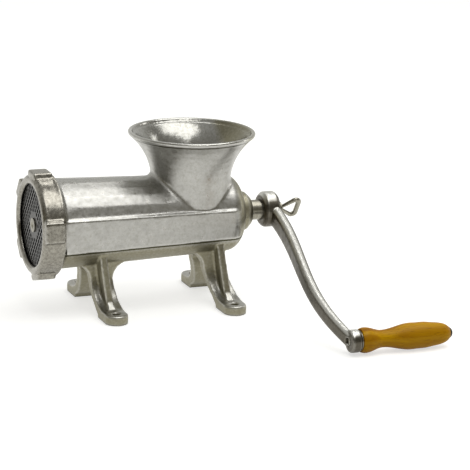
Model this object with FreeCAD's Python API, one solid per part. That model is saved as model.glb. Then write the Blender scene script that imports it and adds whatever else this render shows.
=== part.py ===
import FreeCAD, Part
import math
import os
from FreeCAD import Vector

# Hand crank meat grinder, millimetres. X runs along the grinding axis towards the crank, Z is up,
# and the origin is the centre of the four foot holes on the bench.

# Stance: axis height, foot holes and legs
axis_height = 102.0
foot_spacing_long = 143.0
foot_spacing_wide = 137.5
foot_hole_diameter = 9.0
foot_width = 27.0
foot_thickness = 11.0
foot_edge_round = 2.0
leg_width = 27.0
front_leg_offset = -0.3
rear_leg_offset = -5.6
leg_half_span = 25.0
leg_bend_radius = 35.0
leg_rake_angle = 6.0
leg_flare_radius = 20.0
arch_web = 3.0
rib_thickness = 8.5
rib_depth = 22.0
rib_top_angle = 40.0
rib_proud = 1.5

# Plate, knife and the barrel's mouth
plate_diameter = 99.0
plate_thickness = 9.5
plate_hole_diameter = 4.4
plate_hole_pitch = 6.0
plate_grid_angle = 36.0
plate_hole_sides = 8
plate_rim_margin = 3.5
plate_hub_margin = 4.0
plate_rim_clearance = 0.15
plate_stand_out = 1.2
plate_face_gap = 0.1
knife_thickness = 13.5
knife_blade_thickness = 10.0
knife_hub_diameter = 36.0
knife_blade_width = 17.0
knife_edge_width = 5.0
knife_tip_clearance = 1.6
knife_face_gap = 0.1
knife_blade_count = 4
key_diameter = 5.0
key_length = 8.0

# Barrel and rear head
barrel_front_x = -125.0
barrel_length = 205.0
barrel_narrowing = 6.65
barrel_wall = 6.5
collar_wall = 4.3
collar_step = 2.2
chamber_depth = 1.5
bore_overrun = 8.0
dome_length = 19.0
boss_diameter = 45.5
boss_length = 14.3
boss_chamfer = 6.5

# Flat raised band along each side of the barrel, given as shares of the barrel's radius
band_top_share = 0.27
band_bottom_share = 0.46
band_ledge_share = 0.13
band_proud = 1.0
band_run_out = 3.0

# Hopper
hopper_setback = 40.0
hopper_rim_radius = 73.4
hopper_rim_height = 99.4
hopper_lip_radius = 2.6
hopper_flare_radius = 72.0
hopper_wall = 5.0
throat_top_step = 0.4
throat_foot_inset = 0.8
hopper_seam_fillet = 6.0

# Ring nut
ring_depth = 26.0
ring_lip = 5.0
ring_lip_overlap = 3.0
ring_wall = 3.7
ring_bead_width = 3.2
ring_bead_proud = 0.9
ring_front_chamfer = 4.0
ring_lug_angles = (1.0, 85.0, 163.0, 229.0, 304.0)
ring_lug_width = 22.0
ring_lug_setback = 0.8
ring_lug_height = 4.6
ring_lug_slope = 3.0
thread_clearance = 0.3

# Feed screw
screw_pitch = 46.0
screw_bore_clearance = 0.6
screw_core_front_radius = 22.0
screw_core_rear_radius = 18.0
screw_collar_radius = 25.0
screw_collar_length = 7.0
flight_root_thickness = 9.0
flight_tip_thickness = 5.0

# Shank, bush, stud and washers
shank_diameter = 23.5
shank_insert = 42.0
shank_gap_length = 14.0
drive_square = 15.0
bush_wall = 3.5
running_clearance = 0.05
press_gap = 0.02
thrust_washer_thickness = 3.0
thrust_washer_width = 12.0
end_float = 0.3
pin_diameter = 6.0
stud_square = 17.0
stud_pilot_diameter = 16.0
stud_thread_diameter = 15.0
stud_thread_length = 26.0
stud_stand_out = 1.5

# Crank, thumbscrew and grip
crank_angle = 70.9
crank_radius = 266.0
crank_hub_diameter = 42.0
crank_hub_length = 20.5
crank_hub_chamfer = 4.0
arm_width_at_hub = 25.0
arm_width_at_boss = 17.0
arm_thickness_at_hub = 13.6
arm_thickness_at_boss = 10.0
arm_corner_share = 0.45
arm_section_count = 9
arm_offset = 0.95
arm_hub_offset = 1.2
arm_level_station = 82.0
arm_dish = 11.9
arm_dish_station = 198.0
arm_sweep_length = 26.0
arm_sweep_offset = 8.3
crank_boss_diameter = 25.8
crank_boss_length = 12.0
crank_boss_offset = 0.3
crank_boss_chamfer = 1.5
clamp_washer_diameter = 22.0
clamp_washer_thickness = 2.0
clamp_face_gap = 0.1
thumbscrew_diameter = 10.0
thumbscrew_thread_length = 12.0
thumbscrew_collar_diameter = 15.0
thumbscrew_collar_length = 4.0
loop_wire_diameter = 3.8
loop_corner_radius = 4.5
loop_length = 20.5
loop_half_width = 12.5
loop_turn_angle = 34.0
grip_length = 107.0
grip_collar_diameter = 28.3
grip_neck_diameter = 19.4
grip_belly_diameter = 29.5
grip_shoulder_diameter = 23.8
grip_tip_diameter = 12.0
grip_collar_station = 5.0
grip_neck_station = 26.0
grip_belly_station = 60.0
grip_shoulder_station = 86.0
grip_edge_round = 1.2
spindle_diameter = 8.0
spindle_head_diameter = 10.5
spindle_head_length = 2.0
inner_washer_diameter = 22.8
grip_washer_thickness = 1.0
grip_face_gap = 0.3

# Small chamfer on turned edges, and how far a cutting shape runs past a face
edge_chamfer = 1.0
cut_overrun = 1.0

# Sizes that follow from the ones above
plate_radius = plate_diameter / 2
mouth_radius = plate_radius + plate_rim_clearance
collar_radius = mouth_radius + collar_wall
barrel_front_radius = collar_radius - collar_step
barrel_rear_radius = barrel_front_radius - barrel_narrowing
barrel_taper = barrel_narrowing / barrel_length
barrel_rear_x = barrel_front_x + barrel_length
hopper_x = barrel_rear_x - hopper_setback
throat_radius = barrel_rear_radius + throat_top_step
throat_foot_radius = barrel_rear_radius - throat_foot_inset
plate_rear_x = barrel_front_x - knife_thickness - knife_face_gap
plate_front_x = plate_rear_x - plate_thickness
mouth_face_x = plate_front_x + plate_stand_out
ring_seat_x = plate_front_x - plate_face_gap
ring_front_x = ring_seat_x - ring_lip
ring_rear_x = ring_front_x + ring_depth
ring_bore_radius = collar_radius + thread_clearance
ring_radius = ring_bore_radius + ring_wall
ring_opening_radius = plate_radius - ring_lip_overlap
bore_rear_x = barrel_rear_x + bore_overrun
dome_end_x = barrel_rear_x + dome_length
boss_end_x = dome_end_x + boss_length
boss_radius = boss_diameter / 2
shank_radius = shank_diameter / 2
bush_bore_radius = shank_radius + running_clearance
bush_radius = bush_bore_radius + bush_wall
screw_front_x = barrel_front_x
screw_rear_x = bore_rear_x - thrust_washer_thickness - end_float
screw_collar_x = screw_rear_x - screw_collar_length
hub_front_x = boss_end_x + shank_gap_length
hub_rear_x = hub_front_x + crank_hub_length
hub_middle_x = (hub_front_x + hub_rear_x) / 2
clamp_rear_x = hub_rear_x + clamp_washer_thickness
arm_middle_x = hub_middle_x + arm_offset
boss_middle_x = arm_middle_x + crank_boss_offset
crank_boss_front_x = boss_middle_x - crank_boss_length / 2
crank_boss_rear_x = boss_middle_x + crank_boss_length / 2
spindle_radius = spindle_diameter / 2
grip_bore_radius = spindle_radius + running_clearance
inner_washer_rear_x = crank_boss_rear_x + grip_washer_thickness
grip_front_x = inner_washer_rear_x + grip_face_gap
grip_rear_x = grip_front_x + grip_length
end_washer_front_x = grip_rear_x + grip_face_gap
end_washer_rear_x = end_washer_front_x + grip_washer_thickness
leg_bend_z = foot_thickness + leg_bend_radius
leg_foot_y = leg_half_span + leg_bend_radius

axis_point = Vector(0, 0, axis_height)
x_direction = Vector(1, 0, 0)
z_direction = Vector(0, 0, 1)
# Larger than any piece, for cutting planes
far = 4 * (barrel_length + crank_radius)


def barrel_radius_at(x):
    return barrel_front_radius - barrel_taper * (x - barrel_front_x)


def line(a, b):
    return Part.LineSegment(a, b).toShape()


def face_of(points):
    return Part.Face(Part.makePolygon(points + [points[0]]))


def on_axis(x, r):
    return Vector(x, 0, axis_height + r)


def turned(points):
    # A solid turned about the grinding axis from (x, radius) points
    return face_of([on_axis(x, r) for x, r in points]).revolve(axis_point, x_direction, 360)


def rod(radius, start_x, end_x, centre=axis_point):
    base = Vector(start_x, centre.y, centre.z)
    return Part.makeCylinder(radius, end_x - start_x, base, x_direction)


def tube(outer_radius, inner_radius, start_x, end_x, centre=axis_point):
    return rod(outer_radius, start_x, end_x, centre).cut(rod(inner_radius, start_x, end_x, centre))


def square_bar(width, start_x, end_x, centre=axis_point):
    corner = Vector(start_x, centre.y - width / 2, centre.z - width / 2)
    return Part.makeBox(end_x - start_x, width, width, corner)


def chamfered_rod(radius, start_x, end_x, chamfer, centre=axis_point):
    points = [(start_x, 0), (start_x, radius - chamfer), (start_x + chamfer, radius),
              (end_x - chamfer, radius), (end_x, radius - chamfer), (end_x, 0)]
    face = face_of([Vector(x, centre.y, centre.z + r) for x, r in points])
    return face.revolve(centre, x_direction, 360)


def mirrored_across(shape):
    return shape.mirror(Vector(0, 0, 0), Vector(0, 1, 0))


# Crank: built hanging straight down from the axis, then swung to its resting angle
def swung(shape):
    shape.rotate(axis_point, x_direction, -crank_angle)
    return shape


# Barrel, dome and rear boss, turned from one outline
def barrel_outside():
    dome_curve = Part.BezierCurve()
    round_share = 0.5523
    rise = barrel_rear_radius - boss_radius
    dome_curve.setPoles([on_axis(barrel_rear_x, barrel_rear_radius),
                         on_axis(barrel_rear_x + round_share * dome_length, barrel_rear_radius),
                         on_axis(dome_end_x, boss_radius + round_share * rise),
                         on_axis(dome_end_x, boss_radius)])
    start = [on_axis(mouth_face_x, 0), on_axis(mouth_face_x, collar_radius),
             on_axis(barrel_front_x, collar_radius), on_axis(barrel_front_x, barrel_front_radius),
             on_axis(barrel_rear_x, barrel_rear_radius)]
    end = [on_axis(dome_end_x, boss_radius), on_axis(boss_end_x - boss_chamfer, boss_radius),
           on_axis(boss_end_x, boss_radius - boss_chamfer), on_axis(boss_end_x, 0)]
    edges = [line(a, b) for a, b in zip(start, start[1:])]
    edges.append(dome_curve.toShape())
    edges += [line(a, b) for a, b in zip(end, end[1:])]
    edges.append(line(end[-1], start[0]))
    return Part.Face(Part.Wire(edges)).revolve(axis_point, x_direction, 360)


def barrel_inside():
    chamber_x = barrel_front_x - chamber_depth
    front_bore = barrel_radius_at(chamber_x) - barrel_wall
    rear_bore = barrel_radius_at(bore_rear_x) - barrel_wall
    open_x = mouth_face_x - cut_overrun
    return turned([(open_x, 0), (open_x, mouth_radius), (chamber_x, mouth_radius),
                   (chamber_x, front_bore), (bore_rear_x, rear_bore), (bore_rear_x, 0)])


def side_band():
    # Flat band that follows the barrel's taper and dies into the dome
    sections = []
    for x, proud in ((barrel_front_x, band_proud), (barrel_rear_x, band_proud),
                     (barrel_rear_x + bore_overrun, -band_run_out)):
        radius = barrel_radius_at(x)
        face_y = -(radius + proud)
        top_z = radius * band_top_share
        bottom_z = -radius * band_bottom_share
        ledge_z = top_z + radius * band_ledge_share
        inner_y = -radius * math.cos(math.asin(band_bottom_share)) + barrel_wall / 2
        corners = [(inner_y, ledge_z), (face_y, top_z), (face_y, bottom_z), (inner_y, bottom_z)]
        points = [Vector(x, y, axis_height + z) for y, z in corners]
        sections.append(Part.makePolygon(points + [points[0]]))
    return Part.makeLoft(sections, True, True)


# Hopper: throat, flared wall with a steady thickness, and a rolled lip
lip_centre_r = hopper_rim_radius - hopper_lip_radius
lip_centre_z = axis_height + hopper_rim_height - hopper_lip_radius
flare_middle_radius = hopper_flare_radius + hopper_wall / 2
flare_start_r = throat_radius - hopper_wall / 2
flare_angle = math.acos(1 - (lip_centre_r - flare_start_r) / flare_middle_radius)
flare_start_z = lip_centre_z - flare_middle_radius * math.sin(flare_angle)


def flare_point(radius, angle):
    r = flare_start_r + flare_middle_radius - radius * math.cos(angle)
    return Vector(hopper_x + r, 0, flare_start_z + radius * math.sin(angle))


def flare_arc(radius, start, end):
    points = [flare_point(radius, a) for a in (start, (start + end) / 2, end)]
    return Part.Arc(points[0], points[1], points[2]).toShape()


def upright_turn(edges):
    # Turned so that its start line lies on the far side, away from the barrel's
    solid = Part.Face(Part.Wire(edges)).revolve(Vector(hopper_x, 0, 0), z_direction, 360)
    solid.rotate(Vector(hopper_x, 0, 0), z_direction, 90)
    return solid


def hopper_outside():
    outer = hopper_flare_radius
    rim = flare_point(outer, flare_angle)
    centre_low = Vector(hopper_x, 0, axis_height)
    foot = Vector(hopper_x + throat_foot_radius, 0, axis_height)
    centre_high = Vector(hopper_x, 0, rim.z)
    edges = [line(centre_low, foot), line(foot, flare_point(outer, 0)), flare_arc(outer, 0, flare_angle),
             line(rim, centre_high), line(centre_high, centre_low)]
    lip = Part.makeTorus(lip_centre_r, hopper_lip_radius, Vector(hopper_x, 0, lip_centre_z), z_direction)
    return upright_turn(edges).fuse(lip)


def hopper_inside():
    inner = hopper_flare_radius + hopper_wall
    over_rim = flare_angle + hopper_lip_radius / inner
    rim = flare_point(inner, over_rim)
    foot_r = throat_foot_radius - hopper_wall
    centre_low = Vector(hopper_x, 0, axis_height)
    foot = Vector(hopper_x + foot_r, 0, axis_height)
    top = Vector(rim.x, 0, rim.z + 2 * hopper_lip_radius)
    centre_high = Vector(hopper_x, 0, top.z)
    edges = [line(centre_low, foot), line(foot, flare_point(inner, 0)), flare_arc(inner, 0, over_rim),
             line(rim, top), line(top, centre_high), line(centre_high, centre_low)]
    return upright_turn(edges)


# Legs: an arch across the barrel, shaped in both views, with a rib down each outer face
def rake_shift(z):
    return -max(0.0, z - foot_thickness) * math.tan(math.radians(leg_rake_angle))


def leg_side_outline(foot_x):
    # Outline across X: narrow at the waist, flaring into the barrel except at its rear end
    radius = barrel_radius_at(foot_x)
    flare_top_z = axis_height - math.sqrt(radius ** 2 - leg_half_span ** 2)
    flare_low_z = flare_top_z - leg_flare_radius
    flare = leg_flare_radius
    turn = flare * math.cos(math.radians(45))
    offset = front_leg_offset if foot_x < 0 else rear_leg_offset
    waist_x = foot_x + offset + rake_shift(flare_low_z)
    edges = []
    corners = {}
    for side in (-1, 1):
        low = Vector(waist_x + side * leg_width / 2, 0, flare_low_z)
        foot = Vector(foot_x + side * foot_width / 2, 0, 0)
        ankle = Vector(foot_x + side * foot_width / 2, 0, foot_thickness)
        edges += [line(foot, ankle), line(ankle, low)]
        high = low
        if side < 0 or foot_x < 0:
            bend = Vector(low.x + side * (flare - turn), 0, flare_low_z + turn)
            high = Vector(low.x + side * flare, 0, flare_top_z)
            edges.append(Part.Arc(low, bend, high).toShape())
        top = Vector(high.x, 0, axis_height)
        edges.append(line(high, top))
        corners[side] = (foot, top)
    edges.append(line(corners[-1][0], corners[1][0]))
    edges.append(line(corners[-1][1], corners[1][1]))
    return Part.Face(Part.Wire(Part.__sortEdges__(edges)))


def leg_arch_face(foot_x):
    # Outline across Y: two bent legs joined by a low arch under the barrel
    top_z = axis_height - barrel_radius_at(foot_x) / 2
    arch_z = axis_height - barrel_radius_at(foot_x) - arch_web
    inner_y = leg_half_span - foot_thickness
    slant = math.cos(math.radians(45))

    def bend_point(side, radius):
        return Vector(0, side * (leg_foot_y - radius * slant), leg_bend_z - radius * slant)

    edges = []
    for side in (-1, 1):
        top = Vector(0, side * leg_half_span, top_z)
        waist = Vector(0, side * leg_half_span, leg_bend_z)
        toe = Vector(0, side * leg_foot_y, foot_thickness)
        sole = Vector(0, side * leg_foot_y, 0)
        inner = Vector(0, side * inner_y, leg_bend_z)
        edges += [line(top, waist), Part.Arc(waist, bend_point(side, leg_bend_radius), toe).toShape(),
                  line(toe, sole),
                  Part.Arc(sole, bend_point(side, leg_bend_radius + foot_thickness), inner).toShape()]
    edges.append(Part.Arc(Vector(0, -inner_y, leg_bend_z), Vector(0, 0, arch_z),
                          Vector(0, inner_y, leg_bend_z)).toShape())
    edges.append(line(Vector(0, -leg_half_span, top_z), Vector(0, leg_half_span, top_z)))
    return Part.Face(Part.Wire(Part.__sortEdges__(edges)))


def leg_rib(foot_x):
    radius = barrel_radius_at(foot_x)
    angle = math.radians(rib_top_angle)
    top = Vector(0, -radius * math.cos(angle) - rib_proud, axis_height - radius * math.sin(angle) + rib_proud)
    knee = Vector(0, -leg_half_span - rib_depth - rib_proud, foot_thickness + rib_thickness)
    toe = Vector(0, -leg_foot_y + rib_proud, foot_thickness - rib_proud)
    sunk_radius = (leg_bend_radius + foot_thickness / 2) * math.cos(math.radians(45))
    bend = Vector(0, -leg_foot_y + sunk_radius, leg_bend_z - sunk_radius)
    heel = Vector(0, -leg_half_span + foot_thickness / 2, leg_bend_z)
    inner = Vector(0, -leg_half_span + foot_thickness / 2, top.z)
    plate = face_of([top, knee, toe, bend, heel, inner]).extrude(Vector(far, 0, 0))
    plate.translate(Vector(-far / 2, 0, 0))
    half = rib_thickness / 2
    strip = [Vector(foot_x + rake_shift(z) + side * half, 0, z)
             for side, z in ((-1, 0), (1, 0), (1, foot_thickness), (1, axis_height),
                             (-1, axis_height), (-1, foot_thickness))]
    upright = face_of(strip).extrude(Vector(0, -far, 0))
    return plate.common(upright)


def foot_tongue(foot_x):
    hole_y = -foot_spacing_wide / 2
    toe_z = Vector(foot_x, hole_y, 0)
    end = Part.makeCylinder(foot_width / 2, foot_thickness, toe_z, z_direction)
    heel_length = foot_spacing_wide / 2 - leg_half_span - leg_bend_radius / 2
    shank = Part.makeBox(foot_width, heel_length, foot_thickness, Vector(foot_x - foot_width / 2, hole_y, 0))
    tongue = end.fuse(shank).removeSplitter()
    top_edges = [e for e in tongue.Edges if e.BoundBox.ZMin > foot_thickness - 0.01]
    outer_edges = [e for e in top_edges if e.BoundBox.YMin < hole_y + heel_length - 0.01]
    return tongue.makeFillet(foot_edge_round, outer_edges)


def leg_pair(foot_x):
    across = leg_arch_face(foot_x).extrude(Vector(far, 0, 0))
    across.translate(Vector(-far / 2, 0, 0))
    along = leg_side_outline(foot_x).extrude(Vector(0, far, 0))
    along.translate(Vector(0, -far / 2, 0))
    pieces = [across.common(along)]
    for near in (leg_rib(foot_x), foot_tongue(foot_x)):
        pieces += [near, mirrored_across(near)]
    return pieces


def key_position():
    return Vector(0, 0, axis_height - mouth_radius)


def body_casting():
    body = barrel_outside().fuse(hopper_outside()).removeSplitter()
    # The seam round the hopper's foot is the only free-form edge here
    seam = [e for e in body.Edges if e.Curve.TypeId == "Part::GeomBSplineCurve"]
    body = body.makeFillet(hopper_seam_fillet, seam)
    band = side_band()
    additions = [band, mirrored_across(band)]
    for side in (-1, 1):
        additions += leg_pair(side * foot_spacing_long / 2)
    body = body.multiFuse(additions)
    bush_hole = rod(bush_radius + press_gap, bore_rear_x - cut_overrun, boss_end_x + cut_overrun)
    key_end_x = mouth_face_x + key_length
    key_hole = rod(key_diameter / 2 + press_gap, mouth_face_x - cut_overrun, key_end_x, key_position())
    cuts = [barrel_inside(), hopper_inside(), bush_hole, key_hole]
    hole_length = foot_thickness + 2 * cut_overrun
    for sx in (-1, 1):
        for sy in (-1, 1):
            base = Vector(sx * foot_spacing_long / 2, sy * foot_spacing_wide / 2, -cut_overrun)
            cuts.append(Part.makeCylinder(foot_hole_diameter / 2, hole_length, base, z_direction))
    for cut in cuts:
        body = body.cut(cut)
    return body.removeSplitter()


def ring_nut():
    front_radius = ring_radius - ring_front_chamfer
    bead_radius = ring_radius + ring_bead_proud
    bead_x = ring_rear_x - ring_bead_width
    lip_bevel = ring_lip / 2
    ring = turned([(ring_front_x, ring_opening_radius + lip_bevel), (ring_front_x, front_radius),
                   (ring_front_x + ring_front_chamfer, ring_radius), (bead_x, ring_radius),
                   (bead_x, bead_radius), (ring_rear_x, bead_radius), (ring_rear_x, ring_bore_radius),
                   (ring_seat_x, ring_bore_radius), (ring_seat_x, ring_opening_radius),
                   (ring_front_x + lip_bevel, ring_opening_radius)])
    lug_top = ring_radius + ring_lug_height
    lug_base = ring_bore_radius + ring_wall / 2
    lug_front_x = ring_front_x + ring_lug_setback
    half = ring_lug_width / 2
    outline = [Vector(lug_front_x, -half - ring_lug_slope, axis_height + lug_base),
               Vector(lug_front_x, -half, axis_height + lug_top),
               Vector(lug_front_x, half, axis_height + lug_top),
               Vector(lug_front_x, half + ring_lug_slope, axis_height + lug_base)]
    lug = face_of(outline).extrude(Vector(bead_x - lug_front_x, 0, 0))
    lugs = []
    for angle in ring_lug_angles:
        copy = lug.copy()
        copy.rotate(axis_point, x_direction, angle)
        lugs.append(copy)
    return ring.multiFuse(lugs).removeSplitter()


def plate():
    holes = []
    grid_turn = math.radians(plate_grid_angle)
    hole_radius = plate_hole_diameter / 2
    outer = plate_radius - plate_rim_margin - hole_radius
    inner = stud_pilot_diameter / 2 + plate_hub_margin + hole_radius
    across = int(outer / plate_hole_pitch) + 1
    for row in range(-across, across + 1):
        for column in range(-across, across + 1):
            y = plate_hole_pitch * (column * math.cos(grid_turn) - row * math.sin(grid_turn))
            z = plate_hole_pitch * (column * math.sin(grid_turn) + row * math.cos(grid_turn))
            if inner <= math.hypot(y, z) <= outer:
                holes.append(Vector(plate_front_x, y, axis_height + z))
    bore_radius = stud_pilot_diameter / 2 + running_clearance
    front = Vector(plate_front_x, 0, axis_height)
    wires = [Part.Wire(Part.makeCircle(plate_radius, front, x_direction)),
             Part.Wire(Part.makeCircle(bore_radius, front, x_direction))]
    for hole in holes:
        corners = []
        for k in range(plate_hole_sides + 1):
            turn = 2 * math.pi * k / plate_hole_sides
            corners.append(hole + Vector(0, hole_radius * math.sin(turn), hole_radius * math.cos(turn)))
        wires.append(Part.makePolygon(corners))
    disc = Part.Face(wires, "Part::FaceMakerBullseye").extrude(Vector(plate_thickness, 0, 0))
    notch = rod(key_diameter / 2 + plate_rim_clearance, plate_front_x - cut_overrun,
                plate_rear_x + cut_overrun, key_position())
    return disc.cut(notch)


def plate_key():
    return rod(key_diameter / 2, mouth_face_x, mouth_face_x + key_length - press_gap, key_position())


def knife():
    face_x = plate_rear_x + knife_face_gap
    hub = chamfered_rod(knife_hub_diameter / 2, face_x, barrel_front_x, edge_chamfer)
    tip = mouth_radius - knife_tip_clearance
    lean = knife_blade_width - knife_edge_width
    # Each blade is a wedge: a narrow flat edge on the plate and a sloping back
    outline = [Vector(face_x, 0, axis_height), Vector(face_x, -knife_edge_width, axis_height),
               Vector(face_x + knife_blade_thickness / 2, -knife_edge_width - lean / 2, axis_height),
               Vector(face_x + knife_blade_thickness, -knife_edge_width - lean / 2, axis_height),
               Vector(face_x + knife_blade_thickness, lean / 2, axis_height)]
    blade = face_of(outline).extrude(Vector(0, 0, tip))
    blades = []
    for i in range(knife_blade_count):
        copy = blade.copy()
        copy.rotate(axis_point, x_direction, i * 360 / knife_blade_count)
        blades.append(copy)
    start_x = face_x - cut_overrun
    end_x = barrel_front_x + cut_overrun
    star = hub.multiFuse(blades).common(rod(tip, start_x, end_x))
    return star.cut(square_bar(stud_square + 2 * running_clearance, start_x, end_x)).removeSplitter()


def knife_stud():
    square_end_x = plate_rear_x + knife_face_gap
    thread = rod(stud_thread_diameter / 2, screw_front_x, screw_front_x + stud_thread_length)
    square = square_bar(stud_square, square_end_x, screw_front_x)
    pilot = rod(stud_pilot_diameter / 2, plate_front_x - stud_stand_out, square_end_x)
    return thread.fuse(square).fuse(pilot).removeSplitter()


# Feed screw: a core and a left-hand flight, trimmed by the tapered envelope of the bore
def screw_envelope():
    front = barrel_radius_at(screw_front_x) - barrel_wall - screw_bore_clearance
    rear = barrel_radius_at(screw_collar_x) - barrel_wall - screw_bore_clearance
    return turned([(screw_front_x, 0), (screw_front_x, front), (screw_collar_x, rear), (screw_collar_x, 0)])


def screw_flight():
    spine_radius = screw_core_front_radius
    tip_radius = barrel_front_radius
    root_radius = screw_core_rear_radius - flight_root_thickness / 2
    run = screw_collar_x - screw_front_x + screw_pitch / 2
    helix = Part.makeHelix(screw_pitch, run, spine_radius)
    root_half = flight_root_thickness / 2
    tip_half = flight_tip_thickness / 2
    section = Part.makePolygon([Vector(root_radius, 0, -root_half), Vector(tip_radius, 0, -tip_half),
                                Vector(tip_radius, 0, tip_half), Vector(root_radius, 0, root_half),
                                Vector(root_radius, 0, -root_half)])
    flight = Part.Wire(helix).makePipeShell([section], True, True)
    flight = mirrored_across(flight)
    flight.rotate(Vector(0, 0, 0), Vector(0, 1, 0), 90)
    flight.translate(Vector(screw_front_x, 0, axis_height))
    return flight


def pin_hole(clearance):
    pin_x = screw_rear_x - shank_insert / 2
    radius = pin_diameter / 2 + clearance
    length = 2 * screw_core_rear_radius
    return Part.makeCylinder(radius, length, Vector(pin_x, -length / 2, axis_height), Vector(0, 1, 0))


def feed_screw():
    core = turned([(screw_front_x, 0), (screw_front_x, screw_core_front_radius),
                   (screw_collar_x, screw_core_rear_radius), (screw_rear_x, screw_core_rear_radius),
                   (screw_rear_x, 0)])
    collar = rod(screw_collar_radius, screw_collar_x, screw_rear_x)
    screw = core.multiFuse([collar, screw_flight().common(screw_envelope())])
    stud_depth = screw_front_x + stud_thread_length + press_gap
    screw = screw.cut(rod(stud_thread_diameter / 2 + press_gap, screw_front_x - cut_overrun, stud_depth))
    shank_start = screw_rear_x - shank_insert - press_gap
    screw = screw.cut(rod(shank_radius + press_gap, shank_start, screw_rear_x + cut_overrun))
    return screw.cut(pin_hole(press_gap))


def drive_shank():
    square_end_x = hub_rear_x - clamp_face_gap
    round_part = rod(shank_radius, screw_rear_x - shank_insert, hub_front_x)
    square = swung(square_bar(drive_square, hub_front_x, square_end_x))
    thread_start = square_end_x - thumbscrew_thread_length - running_clearance
    thread = rod(thumbscrew_diameter / 2 + running_clearance, thread_start, square_end_x + cut_overrun)
    return round_part.fuse(square).cut(thread).cut(pin_hole(press_gap)).removeSplitter()


def shank_pin():
    return pin_hole(0)


def rear_bush():
    return tube(bush_radius, bush_bore_radius, bore_rear_x, boss_end_x)


def thrust_washer():
    hole = shank_radius + end_float
    return tube(hole + thrust_washer_width, hole, bore_rear_x - thrust_washer_thickness, bore_rear_x)


def arm_section(point, tangent, width, thickness):
    # Rounded rectangle square to the arm's centre line
    along = Vector(tangent).normalize()
    across = Vector(0, 1, 0)
    through = along.cross(across)
    radius = thickness * arm_corner_share
    half_w = width / 2 - radius
    half_t = thickness / 2 - radius
    slant = radius * math.cos(math.radians(45))

    def at(a, b):
        return point + across * a + through * b

    edges = []
    for sa, sb in ((1, 1), (-1, 1), (-1, -1), (1, -1)):
        side = at(sa * (half_w + radius), sb * half_t)
        bend = at(sa * (half_w + slant), sb * (half_t + slant))
        flat = at(sa * half_w, sb * (half_t + radius))
        first, last = (side, flat) if sa * sb > 0 else (flat, side)
        edges.append((first, bend, last))
    pieces = []
    for i, (first, bend, last) in enumerate(edges):
        pieces.append(Part.Arc(first, bend, last).toShape())
        pieces.append(line(last, edges[(i + 1) % 4][0]))
    return Part.Wire(pieces)


def crank_arm():
    # Centre line from the hub, dished towards the barrel, then swept out into the end boss
    guide = Part.BSplineCurve()
    hub_z = axis_height
    end_z = axis_height - crank_radius
    guide.interpolate([Vector(arm_middle_x + arm_hub_offset, 0, hub_z),
                       Vector(arm_middle_x, 0, hub_z - arm_level_station),
                       Vector(arm_middle_x - arm_dish, 0, hub_z - arm_dish_station),
                       Vector(boss_middle_x - arm_sweep_offset, 0, end_z + arm_sweep_length),
                       Vector(boss_middle_x - crank_boss_length / 4, 0, end_z)])
    sections = []
    for i in range(arm_section_count):
        share = i / (arm_section_count - 1)
        place = guide.FirstParameter + share * (guide.LastParameter - guide.FirstParameter)
        width = arm_width_at_hub + share * (arm_width_at_boss - arm_width_at_hub)
        thickness = arm_thickness_at_hub + share * (arm_thickness_at_boss - arm_thickness_at_hub)
        sections.append(arm_section(guide.value(place), guide.tangent(place)[0], width, thickness))
    arm = Part.makeLoft(sections, True, False)
    hub = chamfered_rod(crank_hub_diameter / 2, hub_front_x, hub_rear_x, crank_hub_chamfer)
    boss = chamfered_rod(crank_boss_diameter / 2, crank_boss_front_x, crank_boss_rear_x,
                         crank_boss_chamfer, Vector(0, 0, end_z))
    crank = hub.multiFuse([arm, boss])
    crank = crank.cut(square_bar(drive_square + 2 * running_clearance, hub_front_x - cut_overrun,
                                 hub_rear_x + cut_overrun))
    spindle_hole = rod(spindle_radius + press_gap, crank_boss_front_x - crank_boss_length,
                       crank_boss_rear_x + cut_overrun, Vector(0, 0, end_z))
    return swung(crank.cut(spindle_hole).removeSplitter())


def clamp_washer():
    hole = thumbscrew_diameter / 2 + end_float
    return tube(clamp_washer_diameter / 2, hole, hub_rear_x, clamp_rear_x)


def thumbscrew():
    collar_front_x = clamp_rear_x + clamp_face_gap
    collar_rear_x = collar_front_x + thumbscrew_collar_length
    thread_end_x = hub_rear_x - clamp_face_gap - thumbscrew_thread_length
    thread = rod(thumbscrew_diameter / 2, thread_end_x, collar_front_x)
    collar = chamfered_rod(thumbscrew_collar_diameter / 2, collar_front_x, collar_rear_x, edge_chamfer)
    # Three-cornered wire loop: two sides that spread from the neck and a crossbar, with round corners
    wire = loop_wire_diameter / 2
    neck = on_axis(collar_rear_x - wire, 0)
    pieces = [thread, collar]
    corner_r = loop_half_width - loop_corner_radius
    corner_x = collar_rear_x + loop_length - loop_corner_radius
    reach = math.hypot(corner_x - neck.x, corner_r)
    spread = math.atan2(corner_r, corner_x - neck.x) + math.asin(loop_corner_radius / reach)
    for side in (-1, 1):
        centre = on_axis(corner_x, side * corner_r)
        touch = centre + Vector(-math.sin(spread), 0, side * math.cos(spread)) * loop_corner_radius
        run = touch - neck
        pieces.append(Part.makeCylinder(wire, run.Length, neck, run))
        ring = Part.Face(Part.Wire(Part.makeCircle(wire, touch, run)))
        pieces.append(ring.revolve(centre, Vector(0, side, 0), 90 + math.degrees(spread)))
    crossbar_x = corner_x + loop_corner_radius
    pieces.append(Part.makeCylinder(wire, 2 * corner_r, on_axis(crossbar_x, -corner_r), z_direction))
    screw = pieces[0].multiFuse(pieces[1:]).removeSplitter()
    screw.rotate(axis_point, x_direction, loop_turn_angle)
    return screw


def grip_centre():
    return Vector(0, 0, axis_height - crank_radius)


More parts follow.
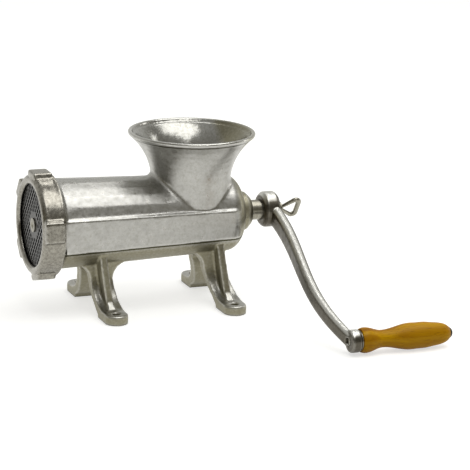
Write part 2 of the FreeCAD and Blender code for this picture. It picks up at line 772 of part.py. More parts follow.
def grip():
    centre = grip_centre()
    # Turned outline: collar, neck, belly and tapered tip, with level tangents at the first three
    stations = ((0.0, grip_collar_diameter - 2 * grip_edge_round), (grip_collar_station, grip_collar_diameter),
                (grip_neck_station, grip_neck_diameter), (grip_belly_station, grip_belly_diameter),
                (grip_shoulder_station, grip_shoulder_diameter), (grip_length, grip_tip_diameter))
    outline = [Vector(grip_front_x + station, 0, centre.z + diameter / 2) for station, diameter in stations]
    tangents = [z_direction] + [x_direction] * 4 + [Vector(1, 0, -1)]
    curve = Part.BSplineCurve()
    curve.interpolate(outline, Tangents=tangents, TangentFlags=[False, True, True, True, False, True])
    front = Vector(grip_front_x, 0, centre.z + grip_bore_radius)
    rear = Vector(grip_rear_x, 0, centre.z + grip_bore_radius)
    edges = [curve.toShape(), line(outline[-1], rear), line(rear, front), line(front, outline[0])]
    return swung(Part.Face(Part.Wire(edges)).revolve(centre, x_direction, 360))


def grip_spindle():
    centre = grip_centre()
    stem = rod(spindle_radius, crank_boss_front_x, end_washer_rear_x, centre)
    head_end_x = end_washer_rear_x + spindle_head_length
    head = chamfered_rod(spindle_head_diameter / 2, end_washer_rear_x, head_end_x, edge_chamfer, centre)
    return swung(stem.fuse(head).removeSplitter())


def grip_washer(diameter, front_x):
    hole = spindle_radius + press_gap
    return swung(tube(diameter / 2, hole, front_x, front_x + grip_washer_thickness, grip_centre()))


def inner_washer():
    return grip_washer(inner_washer_diameter, crank_boss_rear_x)


def end_washer():
    return grip_washer(grip_tip_diameter, end_washer_front_x)


pieces = (body_casting, ring_nut, plate, plate_key, knife, knife_stud, feed_screw, drive_shank, shank_pin,
          rear_bush, thrust_washer, crank_arm, clamp_washer, thumbscrew, grip, grip_spindle, inner_washer,
          end_washer)

os.makedirs("parts", exist_ok=True)
for piece in pieces:
    shape = piece()
    solids = len(shape.Solids)
    print(piece.__name__, "valid", shape.isValid(), "solids", solids, "volume", round(shape.Volume))
    shape.exportStep("parts/" + piece.__name__ + ".step")
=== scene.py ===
import math
import bmesh
import bpy
from mathutils import Matrix, Quaternion, Vector


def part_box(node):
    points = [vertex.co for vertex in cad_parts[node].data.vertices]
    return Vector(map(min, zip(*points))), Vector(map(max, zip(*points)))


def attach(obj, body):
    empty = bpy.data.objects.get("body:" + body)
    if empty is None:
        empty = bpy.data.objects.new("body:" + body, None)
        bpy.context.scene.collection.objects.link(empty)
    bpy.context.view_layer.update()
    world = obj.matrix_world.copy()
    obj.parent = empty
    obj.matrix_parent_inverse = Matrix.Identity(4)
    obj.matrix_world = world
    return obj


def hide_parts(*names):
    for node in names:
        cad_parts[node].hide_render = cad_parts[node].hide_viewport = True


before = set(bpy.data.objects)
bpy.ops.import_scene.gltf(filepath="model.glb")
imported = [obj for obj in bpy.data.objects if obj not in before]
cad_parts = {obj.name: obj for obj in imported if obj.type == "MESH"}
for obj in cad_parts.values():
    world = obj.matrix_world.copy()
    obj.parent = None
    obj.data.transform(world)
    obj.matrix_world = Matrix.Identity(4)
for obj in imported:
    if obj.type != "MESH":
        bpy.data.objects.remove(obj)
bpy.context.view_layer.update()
print("frame loaded with", len(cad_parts), "nodes")

scene = bpy.context.scene
scene.view_settings.view_transform = "Standard"
mm = 0.001


# sRGB hex colour to the linear values that shaders take
def linear(hexColour):
    colour = []
    for start in (0, 2, 4):
        part = int(hexColour[start:start + 2], 16) / 255
        colour.append(part / 12.92 if part <= 0.04045 else ((part + 0.055) / 1.055) ** 2.4)
    return colour + [1]


# stops fill a colour ramp, and other values go to an input of that name or number, or else to a property
def addNode(tree, kind, values, links):
    node = tree.nodes.new("ShaderNode" + kind)
    for key, value in values.items():
        if key == "stops":
            elements = node.color_ramp.elements
            while len(elements) < len(value):
                elements.new(1)
            for element, (place, hexColour) in zip(elements, value):
                element.position = place
                element.color = linear(hexColour)
        elif isinstance(key, int) or key in node.inputs:
            node.inputs[key].default_value = value
        else:
            setattr(node, key, value)
    for key, socket in links.items():
        tree.links.new(socket, node.inputs[key])
    return node


def startMaterial(name, values):
    material = bpy.data.materials.new(name)
    material.use_nodes = True
    tree = material.node_tree
    shader = tree.nodes["Principled BSDF"]
    for key, value in values.items():
        shader.inputs[key].default_value = value
    return material, tree, shader


# 1 inside the hopper, high up on faces that look up, and 0 elsewhere
def bowlShare(tree, coords, spec):
    axes = addNode(tree, "SeparateXYZ", {}, {"Vector": coords.outputs["Object"]})
    facing = addNode(tree, "SeparateXYZ", {}, {"Vector": coords.outputs["Normal"]})
    high = addNode(tree, "MapRange", {"From Min": (spec["smoothAboveMm"] - spec["zoneFadeMm"]) * mm,
                                      "From Max": spec["smoothAboveMm"] * mm}, {"Value": axes.outputs["Z"]})
    inward = addNode(tree, "MapRange", {"From Min": spec["bowlFacing"][0], "From Max": spec["bowlFacing"][1]},
                     {"Value": facing.outputs["Z"]})
    return addNode(tree, "Math", {"operation": "MULTIPLY"},
                   {0: high.outputs["Result"], 1: inward.outputs["Result"]}).outputs[0]


# 1 where the tin is lit and smooth, and 0 where it is rough as cast and gets painted shade: below the side
# bands and on the rear head
def litSmoothShare(tree, coords, cloud, spec):
    axes = addNode(tree, "SeparateXYZ", {}, {"Vector": coords.outputs["Object"]})
    facing = addNode(tree, "SeparateXYZ", {}, {"Vector": coords.outputs["Normal"]})
    low = addNode(tree, "MapRange", {"From Min": (spec["shadeAndRoughBelowMm"] - spec["zoneFadeMm"]) * mm,
                                     "From Max": spec["shadeAndRoughBelowMm"] * mm}, {"Value": axes.outputs["Z"]})
    rear = addNode(tree, "MapRange", {"From Min": (spec["shadeAndRoughBehindMm"] + spec["zoneFadeMm"]) * mm,
                                      "From Max": spec["shadeAndRoughBehindMm"] * mm}, {"Value": axes.outputs["X"]})
    # painted light and a smoother finish on faces that look up, such as the tops of the feet
    paintedLight = addNode(tree, "MapRange", {"From Min": spec["paintedLightFacing"][0], "From Max": spec["paintedLightFacing"][1],
                                      "To Max": spec["paintedLightShare"]}, {"Value": facing.outputs["Z"]})
    leg = addNode(tree, "Math", {"operation": "MAXIMUM"},
                  {0: low.outputs["Result"], 1: paintedLight.outputs["Result"]})
    litSmooth = addNode(tree, "Math", {"operation": "MINIMUM"}, {0: leg.outputs[0], 1: rear.outputs["Result"]})
    patch = addNode(tree, "MapRange", {"From Min": spec["patchTone"][0], "From Max": spec["patchTone"][1],
                                       "To Min": -spec["zonePatch"], "To Max": spec["zonePatch"]},
                    {"Value": cloud})
    return addNode(tree, "Math", {"operation": "ADD", "use_clamp": True},
                   {0: litSmooth.outputs[0], 1: patch.outputs["Result"]}).outputs[0]


# painted shade: darker below the side bands and on the rear head, lighter on faces that look up, and a little
# darker inside the hopper
def paintedShadeTone(tree, colour, litSmooth, bowl, spec):
    # painted shade: the olive tint multiplies the colour below the side bands and on the rear head
    dull = addNode(tree, "Mix", {"data_type": "RGBA", "blend_type": "MULTIPLY", 0: 1,
                                 7: linear(spec["shadeTint"])}, {6: colour})
    cast = addNode(tree, "Mix", {"data_type": "RGBA"}, {0: litSmooth, 6: dull.outputs[2], 7: colour})
    # painted shade inside the hopper
    return addNode(tree, "Mix", {"data_type": "RGBA", "blend_type": "MULTIPLY",
                                 7: linear(spec["bowlShadeTint"])}, {0: bowl, 6: cast.outputs[2]}).outputs[2]


# matt where it is left as cast, and polished inside the hopper for washing
def castRough(tree, rough, litSmooth, bowl, spec):
    cast = addNode(tree, "Mix", {2: spec["castRough"]}, {0: litSmooth, 3: rough})
    inside = addNode(tree, "MapRange", {"To Min": 1, "To Max": spec["smoothShare"]}, {"Value": bowl})
    return addNode(tree, "Math", {"operation": "MULTIPLY"},
                   {0: cast.outputs[0], 1: inside.outputs["Result"]}).outputs[0]


# painted shadow: dark lines outside, under the side bands along the barrel's taper and under the hopper's lip
def shadeLineTone(tree, coords, colour, spec):
    facing = addNode(tree, "SeparateXYZ", {}, {"Vector": coords.outputs["Normal"]})
    outside = addNode(tree, "MapRange", {"From Min": spec["shadeLineFacing"][0],
                                         "From Max": spec["shadeLineFacing"][1]}, {"Value": facing.outputs["Z"]})
    for (frontX, frontZ), (rearX, rearZ), wide in spec["shadeLines"]:
        slope = (rearZ - frontZ) / (rearX - frontX)
        height = addNode(tree, "VectorMath", {"operation": "DOT_PRODUCT", 1: (-slope, 0, 1)},
                         {0: coords.outputs["Object"]})
        line = addNode(tree, "Math", {"operation": "COMPARE", 1: (frontZ - slope * frontX) * mm,
                                      2: wide / 2 * mm}, {0: height.outputs["Value"]})
        share = addNode(tree, "Math", {"operation": "MULTIPLY"},
                        {0: line.outputs[0], 1: outside.outputs["Result"]})
        colour = addNode(tree, "Mix", {"data_type": "RGBA", 7: linear(spec["corner"])},
                         {0: share.outputs[0], 6: colour}).outputs[2]
    return colour


# painted highlight: the crank is lighter on the side that faces up, where the light falls, and keeps its
# darker tone on the others
def paintedHighlightTone(tree, coords, colour, spec):
    facing = addNode(tree, "VectorMath", {"operation": "DOT_PRODUCT", 1: spec["paintedHighlightSide"]},
                     {0: coords.outputs["Normal"]})
    paintedHighlight = addNode(tree, "MapRange", {"From Min": spec["paintedHighlightFacing"][0],
                                       "From Max": spec["paintedHighlightFacing"][1]},
                    {"Value": facing.outputs["Value"]})
    return addNode(tree, "Mix", {"data_type": "RGBA", 7: linear(spec["paintedHighlight"])},
                   {0: paintedHighlight.outputs["Result"], 6: colour}).outputs[2]


# hot-dip tin over cast iron: a cloudy warm grey mirror, with painted shade in dull olive in the corners and a
# painted highlight on the edges
def tinMaterial(name, spec):
    material, tree, shader = startMaterial(name, {"Metallic": 1})
    coords = addNode(tree, "TexCoord", {}, {})
    place = coords.outputs["Object"]
    cloud = addNode(tree, "TexNoise", {"Scale": 1000 / spec["cloudMm"], "Detail": 8, "Roughness": 0.7},
                    {"Vector": place})
    lump = addNode(tree, "TexNoise", {"Scale": 1000 / spec["lumpMm"], "Detail": 3}, {"Vector": place})
    grain = addNode(tree, "TexNoise", {"Scale": 1000 / spec["grainMm"], "Detail": 3}, {"Vector": place})
    toneLow, toneHigh = spec["toneSpread"]
    colour = addNode(tree, "ValToRGB", {"stops": [(toneLow, spec["dull"]), (toneHigh, spec["bright"])]},
                     {"Fac": cloud.outputs["Fac"]}).outputs["Color"]
    rough = addNode(tree, "MapRange", {"From Min": spec["roughSpread"][0], "From Max": spec["roughSpread"][1],
                                       "To Min": spec["roughLow"], "To Max": spec["roughHigh"]},
                    {"Value": lump.outputs["Fac"]}).outputs["Result"]
    # painted shade below the side bands, on the rear head, inside the hopper and in lines under the bands and
    # the lip, and painted light on faces that look up
    if "shadeTint" in spec:
        litSmooth = litSmoothShare(tree, coords, cloud.outputs["Fac"], spec)
        bowl = bowlShare(tree, coords, spec)
        colour = paintedShadeTone(tree, colour, litSmooth, bowl, spec)
        rough = castRough(tree, rough, litSmooth, bowl, spec)
        colour = shadeLineTone(tree, coords, colour, spec)
    # painted highlight on the side that faces up
    if "paintedHighlight" in spec:
        colour = paintedHighlightTone(tree, coords, colour, spec)
    # painted highlight: a pale colour mixed in along sharp convex edges, found by pointiness
    ridge = addNode(tree, "NewGeometry", {}, {})
    paintedLight = addNode(tree, "MapRange", {"From Min": spec["edgeFade"][0], "From Max": spec["edgeFade"][1]},
                   {"Value": ridge.outputs["Pointiness"]})
    edgeHighlighted = addNode(tree, "Mix", {"data_type": "RGBA", 7: linear(spec["edge"])},
                    {0: paintedLight.outputs["Result"], 6: colour})
    # painted shade: the corner colour is mixed in where ambient occlusion finds corners and creases
    corner = addNode(tree, "AmbientOcclusion", {"samples": 8, "Distance": spec["cornerMm"] * mm}, {})
    fade = addNode(tree, "MapRange", {"From Min": spec["cornerFade"][0], "From Max": spec["cornerFade"][1]},
                   {"Value": corner.outputs["AO"]})
    mix = addNode(tree, "Mix", {"data_type": "RGBA", 6: linear(spec["corner"])},
                  {0: fade.outputs["Result"], 7: edgeHighlighted.outputs[2]})
    lumps = addNode(tree, "Bump", {"Strength": 1, "Distance": spec["lumpDeepMm"] * mm},
                    {"Height": lump.outputs["Fac"]})
    grains = addNode(tree, "Bump", {"Strength": 1, "Distance": spec["grainDeepMm"] * mm},
                     {"Height": grain.outputs["Fac"], "Normal": lumps.outputs["Normal"]})
    tree.links.new(mix.outputs[2], shader.inputs["Base Color"])
    tree.links.new(rough, shader.inputs["Roughness"])
    tree.links.new(grains.outputs["Normal"], shader.inputs["Normal"])
    return material


# most of a noise lies between these two values
darkStop = 0.3
lightStop = 0.7


# two tones in a noise that a stretch turns into scratches, lathe lines, patches or flecks
def toneMaterial(name, values, spec):
    material, tree, shader = startMaterial(name, values)
    coords = addNode(tree, "TexCoord", {}, {})
    stretch = addNode(tree, "Mapping", {"Scale": spec["stretch"]}, {"Vector": coords.outputs["Object"]})
    noise = addNode(tree, "TexNoise", {"Scale": 1000 / spec["sizeMm"], "Detail": 3},
                    {"Vector": stretch.outputs["Vector"]})
    tone = addNode(tree, "ValToRGB", {"stops": [(darkStop, spec["dark"]), (lightStop, spec["light"])]},
                   {"Fac": noise.outputs["Fac"]})
    bump = addNode(tree, "Bump", {"Strength": 1, "Distance": spec["deepMm"] * mm},
                   {"Height": noise.outputs["Fac"]})
    tree.links.new(tone.outputs["Color"], shader.inputs["Base Color"])
    tree.links.new(bump.outputs["Normal"], shader.inputs["Normal"])
    return material


# corner is the colour of the painted shade in corners, and edge the colour of the painted highlight on edges
tinSpec = {
    "bright": "A19E94", "dull": "76726A", "toneSpread": (0.36, 0.64), "corner": "3A3728", "edge": "D6D5CF",
    "cloudMm": 3, "lumpMm": 6, "lumpDeepMm": 0.18, "grainMm": 1.4, "grainDeepMm": 0.03, "roughLow": 0.16,
    "roughHigh": 0.32, "roughSpread": (0.3, 0.7), "cornerMm": 5, "cornerFade": (0.3, 0.8),
    "edgeFade": (0.51, 0.58),
}
tinned = tinMaterial("tinned cast iron", tinSpec)

# the body: lighter and rougher, matt where it is left as cast, and with painted shade in olive below the side
# bands and on the rear head
# a painted shadow line is given by its front and rear end, as x and z, and its width, all in millimetres
bodyTinSpec = dict(
    tinSpec, bright="B6B5B1", dull="A6A5A0", corner="4A4736", roughLow=0.25, roughHigh=0.43, grainDeepMm=0.05,
    shadeTint="D6D1BA", castRough=0.46, shadeAndRoughBelowMm=80, shadeAndRoughBehindMm=82, zoneFadeMm=8, zonePatch=0.2,
    patchTone=(0.35, 0.65), paintedLightFacing=(0.2, 0.7), paintedLightShare=0.8, bowlShadeTint="E8E8E6", bowlFacing=(0, 0.2),
    smoothAboveMm=158, smoothShare=0.55, shadeLineFacing=(0.3, 0.1),
    shadeLines=[((-125, 76.4), (80, 79.5), 4), ((-40, 195.2), (120, 195.2), 1.6)],
)
bodyTin = tinMaterial("tinned cast iron body", bodyTinSpec)

# the crank: dark, with a painted highlight on the side that faces up
crankTinSpec = dict(
    tinSpec, bright="645F55", dull="514D44", roughLow=0.28, roughHigh=0.45, paintedHighlight="D0CFC9",
    paintedHighlightSide=(-0.35, 0, 0.94), paintedHighlightFacing=(0.55, 0.8),
)
crankTin = tinMaterial("tinned cast iron crank", crankTinSpec)

# ground tool steel: dark grey with upright scratches, drawn coarser than real ones so that they show
groundSpec = {"light": "4C4B49", "dark": "302F2E", "sizeMm": 0.5, "deepMm": 0.006, "stretch": (1, 1, 0.06)}
ground = toneMaterial("ground tool steel", {"Metallic": 1, "Roughness": 0.34}, groundSpec)

# turned steel: mid grey with lathe lines round the X axis, drawn coarser than real ones so that they show
turnSpec = {"light": "A5A296", "dark": "7C786B", "sizeMm": 0.7, "deepMm": 0.006, "stretch": (1, 0.02, 0.02)}
turned = toneMaterial("turned steel", {"Metallic": 1, "Roughness": 0.28}, turnSpec)

# turned brass: yellow, a little tarnished in patches
brassSpec = {"light": "C9A45A", "dark": "94743A", "sizeMm": 5, "deepMm": 0.01, "stretch": (1, 1, 1)}
brass = toneMaterial("turned brass", {"Metallic": 1, "Roughness": 0.3}, brassSpec)

# pressed fibre: dull red-brown with fine flecks
fibreSpec = {"light": "71442F", "dark": "4C2B1F", "sizeMm": 0.8, "deepMm": 0.02, "stretch": (1, 1, 1)}
fibre = toneMaterial("pressed fibre", {"Roughness": 0.7}, fibreSpec)

# varnished beech: golden, with long dark pores along X under a thin clear coat
# the pores are drawn coarser than real ones so that they show
woodSpec = {
    "light": "CC9A00", "dark": "9A6400", "pore": "6E4600", "stretch": (0.06, 1, 1), "streakMm": 8,
    "streakBend": 0.4, "poreMm": 0.9, "poreDeepMm": 0.01, "poreFade": (0.62, 0.72), "poreShare": 0.5,
}
wood, tree, shader = startMaterial("varnished wood", {"Roughness": 0.5, "Specular IOR Level": 0.04,
                                                      "Coat Weight": 0.18, "Coat Roughness": 0.3})
coords = addNode(tree, "TexCoord", {}, {})
stretch = addNode(tree, "Mapping", {"Scale": woodSpec["stretch"]}, {"Vector": coords.outputs["Object"]})
streak = addNode(tree, "TexNoise", {"Scale": 1000 / woodSpec["streakMm"], "Detail": 4,
                                    "Distortion": woodSpec["streakBend"]},
                 {"Vector": stretch.outputs["Vector"]})
woodStops = [(darkStop, woodSpec["dark"]), (lightStop, woodSpec["light"])]
woodTone = addNode(tree, "ValToRGB", {"stops": woodStops}, {"Fac": streak.outputs["Fac"]})
pore = addNode(tree, "TexNoise", {"Scale": 1000 / woodSpec["poreMm"], "Detail": 1},
               {"Vector": stretch.outputs["Vector"]})
poreFade = addNode(tree, "MapRange", {"From Min": woodSpec["poreFade"][0],
                                      "From Max": woodSpec["poreFade"][1],
                                      "To Max": woodSpec["poreShare"]}, {"Value": pore.outputs["Fac"]})
woodMix = addNode(tree, "Mix", {"data_type": "RGBA", 7: linear(woodSpec["pore"])},
                  {0: poreFade.outputs["Result"], 6: woodTone.outputs["Color"]})
woodBump = addNode(tree, "Bump", {"Strength": 1, "Distance": woodSpec["poreDeepMm"] * mm, "invert": True},
                   {"Height": poreFade.outputs["Result"]})
tree.links.new(woodMix.outputs[2], shader.inputs["Base Color"])
tree.links.new(woodBump.outputs["Normal"], shader.inputs["Normal"])
print("materials made")

# for every piece: what counts as one point and as a flat end, the turn past which an edge is sharp
# or gets a round, the steps in that round, and how far each softening goes
meshSpec = {"mergeMm": 0.002, "flatMm": 0.01, "sharpTurn": 28, "easeTurn": 40, "easeSteps": 2,
            "softShare": 0.5}


def addPiece(spec, mesh, material):
    mesh.materials.clear()
    mesh.materials.append(material)
    piece = bpy.data.objects.new(spec["name"], mesh)
    scene.collection.objects.link(piece)
    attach(piece, spec["body"])
    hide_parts(spec["node"])
    return piece


# a cone pressed into the end face on one side, as a lathe centre leaves it
def pressCentre(bm, spec):
    side = spec["markSide"]
    end = max(side * vert.co.x for vert in bm.verts) - meshSpec["flatMm"] * mm
    cap = [face for face in bm.faces if min(side * vert.co.x for vert in face.verts) > end]
    bmesh.ops.inset_region(bm, faces=cap, thickness=spec["markInset"] * mm)
    bmesh.ops.inset_region(bm, faces=cap, thickness=spec["markSlope"] * mm, depth=-spec["markDeep"] * mm)


# a fuller far end, outside the bore
def swellEnd(bm, spec):
    low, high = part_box(spec["node"])
    middle = (low + high) / 2
    for vert in bm.verts:
        out = Vector((0, vert.co.y - middle.y, vert.co.z - middle.z))
        along = (vert.co.x - low.x) / (high.x - low.x)
        share = (along - spec["swellFrom"]) / (spec["swellTo"] - spec["swellFrom"])
        share = min(max(share, 0), 1)
        if out.length > spec["boreMm"] * mm:
            vert.co += out * spec["swellBy"] * share * share * (3 - 2 * share)  # eased in and out


# a wire loop that gets thicker towards its crossbar
def fattenLoop(bm, spec):
    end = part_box(spec["node"])[1].x
    bm.normal_update()
    for vert in bm.verts:
        share = min(max(1 - (end - vert.co.x) / (spec["loopMm"] * mm), 0), 1)
        vert.co += vert.normal * spec["loopFatMm"] * mm * share


# a closed copy of a solid: its loose triangles are joined first
def closedCopy(spec):
    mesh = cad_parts[spec["node"]].data.copy()
    bm = bmesh.new()
    bm.from_mesh(mesh)
    bmesh.ops.remove_doubles(bm, verts=bm.verts, dist=meshSpec["mergeMm"] * mm)
    bmesh.ops.recalc_face_normals(bm, faces=bm.faces)
    if "markSide" in spec:
        pressCentre(bm, spec)
    if "swellBy" in spec:
        swellEnd(bm, spec)
    if "loopFatMm" in spec:
        fattenLoop(bm, spec)
    for edge in bm.edges:
        edge.smooth = edge.calc_face_angle(0) < math.radians(meshSpec["sharpTurn"])
    bm.to_mesh(mesh)
    bm.free()
    mesh.shade_smooth()
    return mesh


# a narrow round on every sharp edge
def easeEdges(piece, width):
    ease = piece.modifiers.new("ease", "BEVEL")
    ease.width = width * mm
    ease.segments = meshSpec["easeSteps"]
    ease.limit_method = "ANGLE"
    ease.angle_limit = math.radians(meshSpec["easeTurn"])
    ease.harden_normals = True


def machinedPiece(spec, material):
    easeEdges(addPiece(spec, closedCopy(spec), material), spec["edgeMm"])


# the skin of a casting: every edge and corner a little round
def castPiece(spec, material):
    shell = bpy.data.objects.new("shell", closedCopy(spec))
    scene.collection.objects.link(shell)
    skin = shell.modifiers.new("skin", "REMESH")
    skin.mode = "VOXEL"
    skin.voxel_size = spec["voxelMm"] * mm
    soft = shell.modifiers.new("soft", "SMOOTH")
    soft.factor = meshSpec["softShare"]
    soft.iterations = spec["soft"]
    thin = shell.modifiers.new("thin", "DECIMATE")
    thin.ratio = spec["keep"]
    mesh = bpy.data.meshes.new_from_object(shell.evaluated_get(bpy.context.evaluated_depsgraph_get()))
    bpy.data.objects.remove(shell)
    mesh.shade_smooth()
    addPiece(spec, mesh, material)
    print(spec["name"], "has", len(mesh.polygons), "faces")


bodySpec = {"name": "bodyCasting", "node": "body_casting", "body": "housing", "slot": "tinned_iron",
            "voxelMm": 1.3, "soft": 4, "keep": 0.5}
castPiece(bodySpec, bodyTin)
ringSpec = {"name": "ringNut", "node": "ring_nut", "body": "ring", "slot": "tinned_iron",
            "voxelMm": 0.8, "soft": 30, "keep": 0.5}
castPiece(ringSpec, tinned)
crankSpec = {"name": "crankArm", "node": "crank_arm", "body": "drive", "slot": "tinned_iron",
             "voxelMm": 0.8, "soft": 24, "keep": 0.6}
castPiece(crankSpec, crankTin)
screwSpec = {"name": "feedScrew", "node": "feed_screw", "body": "drive", "slot": "tinned_iron",
             "voxelMm": 1.0, "soft": 3, "keep": 0.6}
castPiece(screwSpec, tinned)
print("castings made")


# points along an arc in the plate's face
def arcPoints(centre, radius, start, end, count):
    turns = [start + (end - start) * step / count for step in range(count)]
    return [(centre[0] + radius * math.cos(turn), centre[1] + radius * math.sin(turn)) for turn in turns]


# the plate, drawn in millimetres: a disc with a square grid of round holes,
# a centre bore and a notch for its key
plateSpec = {"name": "cuttingPlate", "node": "plate", "body": "housing", "slot": "cutter_steel",
             "holePitch": 6, "holeWide": 4.4, "gridTurn": 36, "rimMargin": 3.5, "hubMargin": 12,
             "boreWide": 16.1, "keyWide": 5.3, "keyOut": 0.15, "holeSides": 16, "boreSides": 53,
             "rimSides": 160, "edgeMm": 0.25}
plateLow, plateHigh = [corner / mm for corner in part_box("plate")]
plateRadius = (plateHigh.y - plateLow.y) / 2
axisHeight = plateHigh.z - plateRadius
holeRadius = plateSpec["holeWide"] / 2
keyRadius = plateSpec["keyWide"] / 2
keyReach = plateRadius + plateSpec["keyOut"]
notchZ = -(plateRadius ** 2 - keyRadius ** 2 + keyReach ** 2) / (2 * keyReach)
notchY = math.sqrt(plateRadius ** 2 - notchZ ** 2)
rimTurn = math.atan2(notchZ, notchY)
notchTurn = math.atan2(notchZ + keyReach, notchY)
rim = arcPoints((0, 0), plateRadius, rimTurn, math.pi - rimTurn, plateSpec["rimSides"])
rim += arcPoints((0, -keyReach), keyRadius, math.pi - notchTurn, notchTurn, plateSpec["holeSides"])
bm = bmesh.new()
rimVerts = [bm.verts.new((plateLow.x, y, axisHeight + z)) for y, z in rim]
for first, second in zip(rimVerts, rimVerts[1:] + rimVerts[:1]):
    bm.edges.new((first, second))
upright = Matrix.Rotation(math.radians(90), 4, "Y")
bmesh.ops.create_circle(bm, segments=plateSpec["boreSides"], radius=plateSpec["boreWide"] / 2,
                        matrix=Matrix.Translation((plateLow.x, 0, axisHeight)) @ upright)
gridReach = int(plateRadius / plateSpec["holePitch"]) + 1
gridTurn = Matrix.Rotation(math.radians(plateSpec["gridTurn"]), 2)
nearest = plateSpec["hubMargin"] + holeRadius
farthest = plateRadius - plateSpec["rimMargin"] - holeRadius
holeCount = 0
for row in range(-gridReach, gridReach + 1):
    for column in range(-gridReach, gridReach + 1):
        hole = gridTurn @ Vector((column, row)) * plateSpec["holePitch"]
        if nearest <= hole.length <= farthest:
            place = Matrix.Translation((plateLow.x, hole.x, axisHeight + hole.y))
            bmesh.ops.create_circle(bm, segments=plateSpec["holeSides"], radius=holeRadius,
                                    matrix=place @ upright)
            holeCount += 1
bmesh.ops.triangle_fill(bm, use_beauty=True, edges=bm.edges)
for face in bm.faces:
    face.normal_update()
    if face.normal.x > 0:
        face.normal_flip()
bm.transform(Matrix.Scale(mm, 4))
plateMesh = bpy.data.meshes.new("cuttingPlate")
bm.to_mesh(plateMesh)
bm.free()
plate = addPiece(plateSpec, plateMesh, ground)
depth = plate.modifiers.new("depth", "SOLIDIFY")
depth.thickness = (plateHigh.x - plateLow.x) * mm
depth.offset = -1
easeEdges(plate, plateSpec["edgeMm"])
print("plate made with", holeCount, "holes")

knifeSpec = {"name": "knifePiece", "node": "knife", "body": "drive", "slot": "cutter_steel", "edgeMm": 0.2}
machinedPiece(knifeSpec, ground)
studSpec = {"name": "knifeStud", "node": "knife_stud", "body": "drive", "slot": "plain_steel",
            "edgeMm": 0.3, "markSide": -1, "markInset": 4, "markSlope": 2, "markDeep": 1.2}
machinedPiece(studSpec, turned)
keySpec = {"name": "plateKey", "node": "plate_key", "body": "housing", "slot": "plain_steel", "edgeMm": 0.3}
machinedPiece(keySpec, turned)
shankSpec = {"name": "driveShank", "node": "drive_shank", "body": "drive", "slot": "plain_steel",
             "edgeMm": 0.5}
machinedPiece(shankSpec, turned)
pinSpec = {"name": "shankPin", "node": "shank_pin", "body": "drive", "slot": "plain_steel", "edgeMm": 0.3}
machinedPiece(pinSpec, turned)
clampSpec = {"name": "clampWasher", "node": "clamp_washer", "body": "drive", "slot": "plain_steel",
             "edgeMm": 0.4}
machinedPiece(clampSpec, turned)
thumbSpec = {"name": "thumbscrewPiece", "node": "thumbscrew", "body": "clamp_screw", "slot": "plain_steel",
             "edgeMm": 0.3, "loopMm": 20, "loopFatMm": 1.2}
machinedPiece(thumbSpec, turned)
spindleSpec = {"name": "gripSpindle", "node": "grip_spindle", "body": "drive", "slot": "plain_steel",
               "edgeMm": 0.2, "markSide": 1, "markInset": 1.8, "markSlope": 1.2, "markDeep": 0.5}
machinedPiece(spindleSpec, turned)
innerSpec = {"name": "innerWasher", "node": "inner_washer", "body": "drive", "slot": "plain_steel",
             "edgeMm": 0.2}
machinedPiece(innerSpec, turned)
endSpec = {"name": "endWasher", "node": "end_washer", "body": "drive", "slot": "plain_steel", "edgeMm": 0.2}
machinedPiece(endSpec, ground)
bushSpec = {"name": "rearBush", "node": "rear_bush", "body": "housing", "slot": "bush_brass", "edgeMm": 0.4}
machinedPiece(bushSpec, brass)
thrustSpec = {"name": "thrustWasher", "node": "thrust_washer", "body": "housing", "slot": "fibre",
              "edgeMm": 0.3}
machinedPiece(thrustSpec, fibre)
gripSpec = {"name": "woodGrip", "node": "grip", "body": "handle", "slot": "varnished_wood", "edgeMm": 0.4,
            "swellFrom": 0.6, "swellTo": 0.76, "swellBy": 0.12, "boreMm": 5.5}
machinedPiece(gripSpec, wood)
print("steel, brass, fibre and wood made")

# a pale floor that takes the shadow and shows white to the eye and to the metal
floorSpec = {"colour": "CFCFCC", "glow": "FFFFFF", "lift": 0.62, "wide": 30, "belowMm": 0.4}
bm = bmesh.new()
bmesh.ops.create_grid(bm, x_segments=1, y_segments=1, size=floorSpec["wide"] / 2,
                      matrix=Matrix.Translation((0, 0, -floorSpec["belowMm"] * mm)))
floorMesh = bpy.data.meshes.new("floor")
bm.to_mesh(floorMesh)
bm.free()
paper, tree, shader = startMaterial("white paper", {
    "Base Color": linear(floorSpec["colour"]), "Roughness": 0.9, "Specular IOR Level": 0,
    "Emission Color": linear(floorSpec["glow"])})
path = addNode(tree, "LightPath", {}, {})
glossSum = addNode(tree, "Math", {"operation": "ADD"},
                   {0: path.outputs["Is Camera Ray"], 1: path.outputs["Is Glossy Ray"]})
seenSum = addNode(tree, "Math", {"operation": "ADD"},
                  {0: glossSum.outputs[0], 1: path.outputs["Is Transmission Ray"]})
seenLift = addNode(tree, "Math", {"operation": "MULTIPLY", 1: floorSpec["lift"]}, {0: seenSum.outputs[0]})
tree.links.new(seenLift.outputs[0], shader.inputs["Emission Strength"])
floorMesh.materials.append(paper)
floor = bpy.data.objects.new("floor", floorMesh)
scene.collection.objects.link(floor)

# a studio: a white backdrop behind the object, a pale ceiling and dim walls beside and in front
skySpec = {"strength": 0.8, "stops": [(0, "7A7564"), (0.3, "8A8575"), (0.55, "A8A6A0"), (1, "DCDCDA")],
           "backdrop": "F6F6F2", "backdropSide": (0.05, 0.5), "backdropTop": (0.8, 0.5)}
world = bpy.data.worlds.new("room")
scene.world = world
world.use_nodes = True
tree = world.node_tree
coords = addNode(tree, "TexCoord", {}, {})
axes = addNode(tree, "SeparateXYZ", {}, {"Vector": coords.outputs["Generated"]})
sky = addNode(tree, "ValToRGB", {"stops": skySpec["stops"]}, {"Fac": axes.outputs["Z"]})
behind = addNode(tree, "MapRange", {"From Min": skySpec["backdropSide"][0],
                                    "From Max": skySpec["backdropSide"][1]}, {"Value": axes.outputs["Y"]})
below = addNode(tree, "MapRange", {"From Min": skySpec["backdropTop"][0],
                                   "From Max": skySpec["backdropTop"][1]}, {"Value": axes.outputs["Z"]})
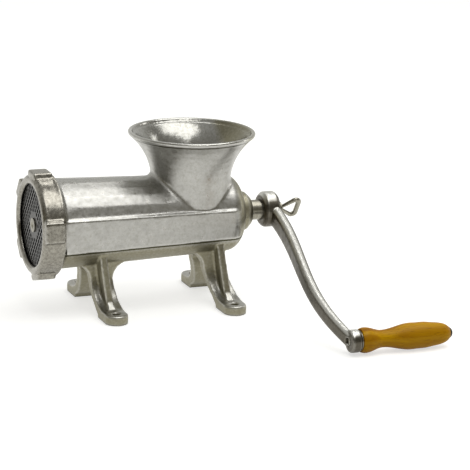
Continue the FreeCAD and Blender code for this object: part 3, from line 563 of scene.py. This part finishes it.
sheet = addNode(tree, "Math", {"operation": "MULTIPLY"},
                {0: behind.outputs["Result"], 1: below.outputs["Result"]})
room = addNode(tree, "Mix", {"data_type": "RGBA", 7: linear(skySpec["backdrop"])},
               {0: sheet.outputs[0], 6: sky.outputs["Color"]})
background = tree.nodes["Background"]
background.inputs["Strength"].default_value = skySpec["strength"]
tree.links.new(room.outputs[2], background.inputs["Color"])


def addLight(name, spec):
    light = bpy.data.lights.new(name, "AREA")
    light.shape = "RECTANGLE"
    light.size, light.size_y = spec["size"]
    light.energy = spec["power"]
    lamp = bpy.data.objects.new(name, light)
    lamp.location = spec["place"]
    lamp.rotation_euler = (Vector(spec["aim"]) - Vector(spec["place"])).to_track_quat("-Z", "Y").to_euler()
    scene.collection.objects.link(lamp)


addLight("topSoftbox", {"place": (0.45, -0.7, 2.3), "aim": (0, 0, 0.1), "size": (2.4, 1.4), "power": 27})
addLight("rearStrip", {"place": (0.85, 0.85, 2.2), "aim": (0, 0, 0.1), "size": (2, 0.3), "power": 7})
addLight("sideStrip", {"place": (2, 0.2, 0.75), "aim": (0.13, -0.1, 0.1), "size": (0.35, 1.2), "power": 4})
print("floor, room and lights made")

# the photograph's long lens, a little above the bench and to the left
cameraSpec = {"azimuth": -21.956, "elevation": 14.761, "roll": 1.669, "lens": 183.84, "sensor": 36,
              "place": (-0.91704, -2.51602, 0.78778), "reach": 60}
azimuth, elevation, roll = [math.radians(cameraSpec[key]) for key in ("azimuth", "elevation", "roll")]
level = math.cos(elevation)
ahead = Vector((-math.sin(azimuth) * level, math.cos(azimuth) * level, -math.sin(elevation)))
lens = bpy.data.cameras.new("camera")
lens.sensor_width = cameraSpec["sensor"]
lens.lens = cameraSpec["lens"]
lens.clip_end = cameraSpec["reach"]
camera = bpy.data.objects.new("camera", lens)
camera.location = cameraSpec["place"]
camera.rotation_euler = (ahead.to_track_quat("-Z", "Y") @ Quaternion((0, 0, 1), roll)).to_euler()
scene.collection.objects.link(camera)
scene.camera = camera
print("camera set")
